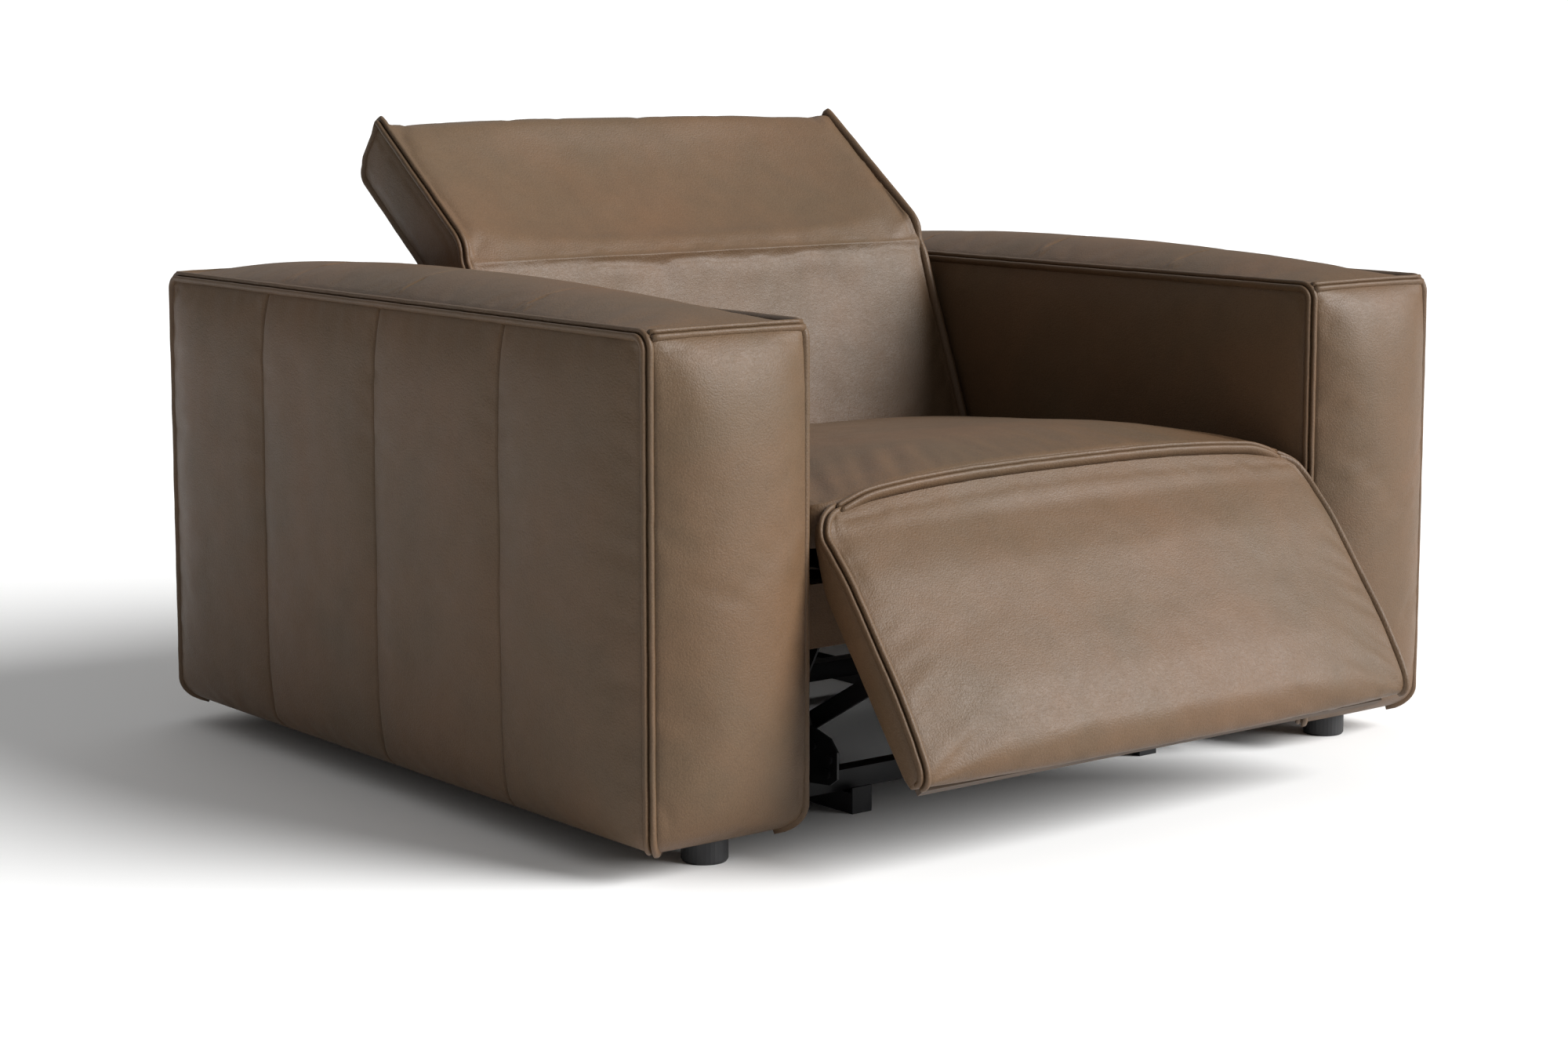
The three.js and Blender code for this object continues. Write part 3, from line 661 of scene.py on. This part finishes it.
def seat_leather():
    """The seat's closed skin, from the arched front seam back under the backrest."""
    start = FRONT_Y + 0.010

    def place(u, v, w):
        ux, uz = 2 * u - 1, 2 * w - 1
        side_x = (SEAT_HALF - corner_cut(v * SEAT_DEPTH)) * ux
        y = start + SEAT_DEPTH * v
        top = seat_line(side_x) * (1 - v) + v * SEAT_REAR_TOP
        low = SEAT_UNDERSIDE - 0.03 * v
        z = low + (top - low) * w
        rise = 1 - np.exp(-(y - start) / 0.030)
        crown = SEAT_CROWN * fall(ux, 2.6) * rise
        z = z + np.where(w > 0, w, 0) ** 4 * crown
        waist = 0.006 * fall(uz, 2.0)
        x = side_x * (1 + 0.004 * fall(uz, 2.0)) + waist * ux * 0.3
        x = x - np.sign(ux) * np.where(np.abs(ux) > 0.97, 0.002, 0)
        nose = np.where(v < 0.06, (1 - v / 0.06) ** 2, 0)
        y = y + 0.010 * nose * np.abs(uz) ** 3 - 0.001
        points = np.stack([x, y, z], axis=1)
        ripple = soft_noise(points, 7.0, 21.0) * 0.0022 + soft_noise(points, 26.0, 23.0) * 0.0006
        points[:, 2] += np.where(w > 0.97, ripple * fall(ux, 12) * np.clip(v * 14, 0, 1), 0)
        gather = pucker(points, points[:, 1] - start, 0.035, (1, 0.15, 0.15), 44.0, 27.0)
        points[:, 2] += np.where(w > 0.97, 0.0006 * gather * np.clip(v * 60, 0, 1), 0)
        return points

    us = spread(2 * SEAT_HALF, 0.008)
    vs = spread(SEAT_DEPTH, 0.009)
    ws = spread(0.075, 0.010)
    verts, faces, (u, v, w) = lattice(us, vs, ws, place)
    held = np.clip(1.5 - v * SEAT_DEPTH / 0.016, 0, 1)
    held = np.maximum(held, np.where((w < 0.02) | (v > 0.98), 1, 0))
    body = outward(make("seat_leather", verts, faces, LEATHER))
    inflate(body, held, np.where(np.abs(2 * u - 1) > 0.97, 0.0015, 0.010))
    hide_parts("seat_cushion")
    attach(body, "frame")


def seat_seam():
    """The arched front seam, which runs out into the footrest's side seams."""
    end = SEAT_HALF - CORNER_TURN + 0.010
    xs = np.linspace(-end, end, 120)
    back = 0.004 * np.abs(xs / end) ** 10
    down = 0.011 * np.maximum(0, (np.abs(xs) - 0.30) / 0.062) ** 2
    path = np.stack([xs, FRONT_Y + 0.005 + back, seat_line(xs) + 0.001 - down], axis=1)
    outs = [(0.35 * np.sign(x) * abs(x / end) ** 12, -0.75, 1) for x in xs]
    seam = outward(make("seat_front_flange_seam", *flange(path, outs, wide=1.2, high=1.15), LEATHER_EDGE))
    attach(seam, "frame")


def seat_apron():
    """The leather over the front rail, which shows in the gap beside the footrest."""
    low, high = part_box("seat_front_rail")
    half, hem, ear_inner, ear_top = 0.409, 0.2255, 0.388, 0.352
    proud, thick = 0.0038, 0.0030

    def place(u, v, w):
        ux, uz = 2 * u - 1, 2 * v - 1
        x = half * ux
        top = np.where(np.abs(x) > ear_inner, ear_top, high.z)
        z = hem + (top - hem) * v
        y = low.y - proud + thick * w
        points = np.stack([x, y, z], axis=1)
        points[:, 1] += (1 - w) * 0.0006 * (1 + soft_noise(points, 18.0, 31.0)) * fall(uz, 4)
        return points

    verts, faces, _ = lattice(spread(0.82, 0.012), spread(0.127, 0.009), [0.0, 0.5, 1.0], place)
    body = outward(make("seat_apron_leather", verts, faces, LEATHER))
    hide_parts("seat_front_cover")
    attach(body, "frame")


seat_leather()
seat_seam()
seat_apron()


# ---- footrest: one skin from the seat's seam over the hinge and round the pad ----
def side_curve(points):
    """A smooth line in (y, z) through points given from the arms' front plane."""
    return curve_through([(FRONT_Y + y, z) for y, z in points], 121)


FOOT_LENGTH = 0.37
FOOT_FRONT = side_curve(
    [(0.010, 0.393), (-0.001, 0.381), (-0.013, 0.363), (-0.032, 0.343), (-0.060, 0.312)]
    + [(-0.101, 0.257), (-0.141, 0.203), (-0.167, 0.161), (-0.1815, 0.134)]
    + [(-0.1845, 0.120), (-0.180, 0.111), (-0.170, 0.1065)]
)
FOOT_REAR = side_curve(
    [(0.020, 0.388), (0.013, 0.374), (0.005, 0.358), (-0.002, 0.338), (-0.008, 0.318)]
    + [(-0.020, 0.292), (-0.065, 0.231), (-0.108, 0.172), (-0.140, 0.129)]
    + [(-0.149, 0.117), (-0.156, 0.110), (-0.164, 0.1065)]
)


def along_curve(curve, t):
    """The points of a curve at the places t, from 0 to 1."""
    grid = np.linspace(0, 1, len(curve))
    return np.stack([np.interp(t, grid, curve[:, k]) for k in range(2)], axis=1)


def curve_normal(curve, t):
    """The left-hand normal of a curve in (y, z)."""
    ahead = along_curve(curve, np.clip(t + 0.01, 0, 1)) - along_curve(curve, np.clip(t - 0.01, 0, 1))
    ahead /= np.linalg.norm(ahead, axis=1)[:, None]
    return np.stack([ahead[:, 1], -ahead[:, 0]], axis=1)


# (place along the footrest from its top, swell in millimetres)
FOOT_SWELL = [(0, 0), (0.05, 6), (0.14, 12), (0.3, 17), (0.5, 19)]
FOOT_SWELL += [(0.72, 22), (0.88, 21), (0.96, 13), (1, 3)]


def footrest_leather():
    """The footrest's closed skin: w runs from its front to its rear, and t from its top to its foot."""

    def place(u, t, w):
        ux = 2 * u - 1
        front = along_curve(FOOT_FRONT, t)
        rear = along_curve(FOOT_REAR, t)
        out = curve_normal(FOOT_FRONT, t)
        thick = np.maximum(np.linalg.norm(rear - front, axis=1), 0.004)
        half = FOOTREST_HALF - corner_cut(t * FOOT_LENGTH)
        in_x, in_front = rounded((1 - np.abs(ux)) * half, w * thick, np.minimum(EDGE_RADIUS, 0.45 * thick))
        w = in_front / thick
        arch = np.clip(1 - t / 0.16, 0, 1) ** 2 * 0.024 * fall(ux, 3)
        front[:, 1] += arch
        rear[:, 1] += arch
        swell = 0.001 * np.interp(t, *zip(*FOOT_SWELL))
        front = front + out * (swell * fall(ux, 3.0))[:, None]
        p = front * (1 - w)[:, None] + rear * w[:, None]
        belly = 0.004 * fall(2 * w - 1, 2) * np.clip(t * 6, 0, 1) * (np.abs(ux) > 0.999)
        x = np.sign(ux) * (half - in_x + belly)
        points = np.stack([x, p[:, 0], p[:, 1]], axis=1)
        ripple = soft_noise(points, 8.0, 41.0) * 0.0018 + soft_noise(points, 30.0, 43.0) * 0.0005
        edge = (1 - np.abs(ux)) * FOOTREST_HALF
        gather = pucker(points, edge, 0.035, (0.15, 1, 1), 36.0, 47.0) * 0.0009
        rise = (ripple + gather) * fall(ux, 40) * np.clip(t * 20, 0, 1) * (w < 0.02)
        points[:, 1] += out[:, 0] * rise
        points[:, 2] += out[:, 1] * rise
        return points

    us = spread(2 * FOOTREST_HALF, 0.008)
    ts = spread(FOOT_LENGTH, 0.006)
    ws = spread(0.045, 0.005, edge=0.02)
    verts, faces, (u, t, w) = lattice(us, ts, ws, place)
    side = (1 - np.abs(2 * u - 1)) * FOOTREST_HALF
    held = np.where(w < 0.5, np.clip(1.5 - side / 0.014, 0, 1) * np.where(w < 0.3, 1, 0), 1)
    held = np.maximum(held, np.clip(1.5 - t / 0.05, 0, 1))
    held = np.maximum(held, np.where(t > 0.985, 1, 0))
    body = outward(make("footrest_leather", verts, faces, LEATHER))
    inflate(body, held, 0.004)
    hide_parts("footrest_pad")
    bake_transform(body)


def side_seam(x, line, out, side):
    """A seam along one side of a pad, on a line in (y, z), with its outward directions in out."""
    x = np.broadcast_to(x, (len(line),))
    path = np.stack([side * x, *(line - SEAM_SINK * out).T], axis=1)
    outs = np.stack([np.full(len(line), side * 0.9), *out.T], axis=1)
    return flange(path, outs)


def footrest_seams():
    """The two side seams, from the seat's front seam down to the foot."""
    t = np.concatenate([np.linspace(0.003, 0.13, 26), np.linspace(0.14, 0.985, 76)])
    x = FOOTREST_HALF - SEAM_DROP - corner_cut(t * FOOT_LENGTH)
    line, out = along_curve(FOOT_FRONT, t), curve_normal(FOOT_FRONT, t)
    parts = [side_seam(x, line, out, side) for side in (-1, 1)]
    seams = outward(make("footrest_flange_seams", *merged(parts), LEATHER_EDGE))
    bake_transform(seams)


footrest_leather()
footrest_seams()


# ---- back and headrest: one skin that folds at the headrest hinge ----
LOW_DIR = np.array([math.sin(math.radians(21.3)), math.cos(math.radians(21.3))])
LOW_OUT = np.array([-LOW_DIR[1], LOW_DIR[0]])
TOP_DIR = np.array([0.8, 0.6])
TOP_OUT = np.array([-0.6, 0.8])
KNEE = np.array([HEAD.y, HEAD.z])
ROLL = 0.046  # radius of the fold's roll round the headrest's hinge
REAR = 0.073  # from the hinge's line to the back's rear
BACK_LENGTH = 0.594
BACK_FOOT = -0.335  # the lower end, along LOW_DIR from the hinge
CURVE_POINTS = 241


def back_front_curve():
    """The back's front line in (y, z): up to the fold, round the roll and along the headrest."""
    points = [KNEE + LOW_OUT * ROLL + LOW_DIR * s for s in np.linspace(BACK_FOOT, -0.003, 60)]
    start = math.atan2(LOW_OUT[1], LOW_OUT[0])
    end = math.atan2(TOP_OUT[1], TOP_OUT[0])
    points += [KNEE + ROLL * np.array([math.cos(a), math.sin(a)]) for a in np.linspace(start, end, 16)]
    points += [KNEE + TOP_OUT * ROLL + TOP_DIR * s for s in np.linspace(0.003, 0.221, 50)]
    radius = 0.015
    centre = KNEE + TOP_OUT * (ROLL - radius) + TOP_DIR * 0.221
    turn = np.linspace(0.1, math.pi / 2 - 0.05, 7)
    points += [centre + radius * (TOP_OUT * math.cos(a) + TOP_DIR * math.sin(a)) for a in turn]
    return even(points, CURVE_POINTS)


def back_rear_curve():
    """The back's rear line in (y, z), beside the front one."""
    points = [KNEE - LOW_OUT * REAR + LOW_DIR * s for s in np.linspace(BACK_FOOT, -0.058, 40)]
    points += [KNEE - LOW_OUT * 0.0715 + LOW_DIR * -0.042]
    points += [KNEE - LOW_OUT * 0.065 + LOW_DIR * -0.024]
    points += [KNEE - TOP_OUT * ROLL + TOP_DIR * s for s in np.linspace(0.030, 0.212, 42)]
    radius = 0.020
    centre = KNEE - TOP_OUT * (ROLL - radius) + TOP_DIR * 0.212
    turn = np.linspace(0.1, math.pi / 2 - 0.05, 8)
    points += [centre + radius * (-TOP_OUT * math.cos(a) + TOP_DIR * math.sin(a)) for a in turn]
    return even(points, CURVE_POINTS)


BACK_FRONT = back_front_curve()
BACK_REAR = back_rear_curve()
CREASE = 0.308 / BACK_LENGTH  # where the fold lies along the front, from the bottom to the top


def back_leather():
    """The closed skin of the back and headrest: w runs from front to rear, and t from the foot up."""

    def place(u, t, w):
        ux = 2 * u - 1
        front = along_curve(BACK_FRONT, t)
        rear = along_curve(BACK_REAR, t)
        out = curve_normal(BACK_FRONT, t)
        out_rear = curve_normal(BACK_REAR, t)
        thick = np.linalg.norm(rear - front, axis=1)
        in_x, in_front = rounded((1 - np.abs(ux)) * BACK_HALF, w * thick, EDGE_RADIUS)
        w = np.where(w < 0.5, in_front / thick, w)
        in_x, in_rear = rounded(in_x, (1 - w) * thick, EDGE_RADIUS)
        w = np.where(w > 0.5, 1 - in_rear / thick, w)
        below = np.clip(t / CREASE, 0, 1)
        above = np.clip((t - CREASE) / (1 - CREASE), 0, 1)
        low_swell = 0.019 * (1 - below**7) * (0.55 + 0.45 * np.sin(math.pi * below))
        high_swell = 0.034 * (1 - (1 - above) ** 7) * (1 - above**5) * (1.0 - 0.3 * above)
        swell = np.where(t < CREASE, low_swell, high_swell)
        gap = (t - CREASE) * BACK_LENGTH
        fold = -0.0055 * np.exp(-((gap / 0.007) ** 2)) * (0.3 + 0.7 * fall(ux, 4))
        rise = swell * fall(ux, 3.0) + fold
        front = front + out * rise[:, None]
        rear_swell = 0.006 * fall(ux, 3.0) * np.clip(np.sin(math.pi * t), 0, 1) ** 0.6
        rear = rear - out_rear * rear_swell[:, None]
        p = front * (1 - w)[:, None] + rear * w[:, None]
        high = np.clip((t - 0.93) / 0.07, 0, 1) ** 1.5
        top_swell = (0.010 * fall(ux, 40) + 0.017 * fall(ux, 5.0)) * high
        top_swell *= 0.35 + 0.65 * fall(2 * w - 1, 2)
        p = p + TOP_DIR * top_swell[:, None]
        belly = 0.006 * fall(2 * w - 1, 2.2) * np.clip((1 - t) * 12, 0, 1) * (np.abs(ux) > 0.999)
        x = np.sign(ux) * (BACK_HALF - in_x + belly)
        points = np.stack([x, p[:, 0], p[:, 1]], axis=1)
        edge = (1 - np.abs(ux)) * BACK_HALF
        ripple = soft_noise(points, 7.5, 51.0) * 0.0022 + soft_noise(points, 28.0, 53.0) * 0.0006
        wrinkle = pucker(points, np.abs(gap), 0.03, (0.35, 1, 1), 60.0, 57.0) * 0.0016
        gather = pucker(points, edge, 0.04, (0.15, 1, 1), 34.0, 59.0) * 0.0014
        lift = (ripple + wrinkle + gather) * fall(ux, 40) * (w < 0.02) * np.clip((1 - t) * 20, 0, 1)
        points[:, 1] += out[:, 0] * lift
        points[:, 2] += out[:, 1] * lift
        return points

    us = spread(2 * BACK_HALF, 0.008)
    ts = spread(BACK_LENGTH, 0.007, lines=(CREASE,))
    ws = spread(0.09, 0.010)
    verts, faces, (u, t, w) = lattice(us, ts, ws, place)
    side = (1 - np.abs(2 * u - 1)) * BACK_HALF
    gusset = np.where(side < 0.001, 0.6, 0)
    held = np.where((w < 0.2) | (w > 0.8), np.clip(1.5 - side / 0.014, 0, 1), gusset)
    stitched = np.clip(1.4 - np.abs(t - CREASE) * BACK_LENGTH / 0.005, 0, 1)
    held = np.maximum(held, np.where(w < 0.2, stitched, 0))
    held = np.maximum(held, np.where(t < 0.02, 1, 0))
    held = np.maximum(held, np.where(w > 0.98, 0.9, 0))
    body = outward(make("back_leather", verts, faces, LEATHER))
    inflate(body, held, 0.007)
    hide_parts("back_cushion", "back_rear_cover", "headrest_cushion", "headrest_rear_cover")
    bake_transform(body)


def back_outline():
    """The side seams' line in (y, z): up the front from the seat, over the pointed top, down the rear."""
    front = [p for p in BACK_FRONT if (p - KNEE) @ TOP_DIR < 0.205 and (p - KNEE) @ LOW_DIR > -0.295]
    tip = KNEE + TOP_OUT * (ROLL - 0.001) + TOP_DIR * 0.240
    side = KNEE + TOP_OUT * (ROLL - 0.012) + TOP_DIR * 0.2395
    loop = front + [KNEE + TOP_OUT * ROLL + TOP_DIR * s for s in (0.212, 0.220, 0.228, 0.234)] + [tip, side]
    loop += [KNEE + TOP_OUT * o + TOP_DIR * 0.237 for o in (0.022, 0.008, -0.006, -0.018)]
    loop += [p for p in BACK_REAR[::-1] if (p - KNEE) @ TOP_DIR <= 0.234]
    return even(loop, 190)


def back_seams():
    """The two side seams, drawn in a little at the fold."""
    line = back_outline()
    ahead = np.gradient(line, axis=0)
    ahead /= np.linalg.norm(ahead, axis=1)[:, None]
    out = np.stack([-ahead[:, 1], ahead[:, 0]], axis=1)
    fold = KNEE + LOW_OUT * ROLL - LOW_DIR * 0.017
    notch = 0.004 * np.exp(-((np.linalg.norm(line - fold, axis=1) / 0.012) ** 2))
    line = line - out * notch[:, None]
    parts = [side_seam(BACK_HALF - SEAM_DROP, line, out, side) for side in (-1, 1)]
    seams = outward(make("back_flange_seams", *merged(parts), LEATHER_EDGE))
    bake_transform(seams)


back_leather()
back_seams()


# ---- rear panel between the arms ----
def rear_panel():
    """The leather panel between the arms at the rear, with a flanged seam along its top."""
    low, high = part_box("rear_panel")
    height = high.z - low.z

    def place(u, v, w):
        ux, uz, uy = 2 * u - 1, 2 * v - 1, 2 * w - 1
        x = high.x * ux * 0.999
        z = low.z + height * v
        y = low.y + 0.010 + uy * 0.009
        y = y + np.maximum(uy, 0) * 0.008 * fall(ux, 8) * fall(uz, 3)
        points = np.stack([x, y, z], axis=1)
        points[:, 1] += np.where(uy > 0.9, 0.0014 * soft_noise(points, 12.0, 61.0), 0)
        return points

    verts, faces, _ = lattice(spread(0.834, 0.012), spread(height, 0.010), [0.0, 0.2, 0.5, 0.8, 1.0], place)
    body = outward(make("rear_panel_leather", verts, faces, LEATHER))
    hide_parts("rear_panel")
    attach(body, "frame")
    xs = np.arange(-0.412, 0.4121, 0.010)
    path = [(x, low.y + 0.012, high.z - 0.003) for x in xs]
    lips = flange(path, [(0, 0.3, 1)] * len(path), wide=1.0)
    seam = outward(make("rear_panel_flange_seam", *lips, LEATHER_EDGE))
    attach(seam, "frame")


rear_panel()


# ---- floor and light ----
def stage_floor():
    """A wide pale floor."""
    mesh = bpy.data.meshes.new("floor")
    far = 30
    corners = [(-far, -far, 0), (far, -far, 0), (far, far, 0), (-far, far, 0)]
    mesh.from_pydata(corners, [], [(0, 1, 2, 3)])
    n = Nodes("pale_floor")
    n.set(Base_Color=n.ramp(n.noise(0.8, 2.0), [(0.3, (0.92, 0.92, 0.915)), (0.7, (0.95, 0.95, 0.945))]))
    n.shader.inputs["Roughness"].default_value = 0.9
    n.shader.inputs["Specular IOR Level"].default_value = 0.1
    mesh.materials.append(n.material)
    floor = bpy.data.objects.new("floor", mesh)
    bpy.context.scene.collection.objects.link(floor)


def sun_light(name, azimuth, elevation, strength, angle):
    """Azimuth is counted from the front, -Y, towards +X; the sun shines from there."""
    data = bpy.data.lights.new(name, "SUN")
    data.energy = strength
    data.angle = math.radians(angle)
    light = bpy.data.objects.new(name, data)
    a, e = math.radians(azimuth), math.radians(elevation)
    towards = Vector((math.sin(a) * math.cos(e), -math.cos(a) * math.cos(e), math.sin(e)))
    light.rotation_euler = (-towards).to_track_quat("-Z", "Y").to_euler()
    bpy.context.scene.collection.objects.link(light)


def world_light(strength):
    """An even soft light, with a plain white backdrop behind the floor."""
    world = bpy.data.worlds.new("studio")
    bpy.context.scene.world = world
    world.use_nodes = True
    tree = world.node_tree
    light = tree.nodes["Background"]
    light.inputs["Color"].default_value = (1, 1, 1, 1)
    light.inputs["Strength"].default_value = strength
    backdrop = tree.nodes.new("ShaderNodeBackground")
    backdrop.inputs["Strength"].default_value = 1.5
    path = tree.nodes.new("ShaderNodeLightPath")
    mix = tree.nodes.new("ShaderNodeMixShader")
    tree.links.new(path.outputs["Is Camera Ray"], mix.inputs[0])
    tree.links.new(light.outputs[0], mix.inputs[1])
    tree.links.new(backdrop.outputs[0], mix.inputs[2])
    tree.links.new(mix.outputs[0], tree.nodes["World Output"].inputs["Surface"])


stage_floor()
sun_light("key", 38, 29, 6.0, 40)
sun_light("rear_fill", 168, 55, 0.5, 70)
world_light(0.22)
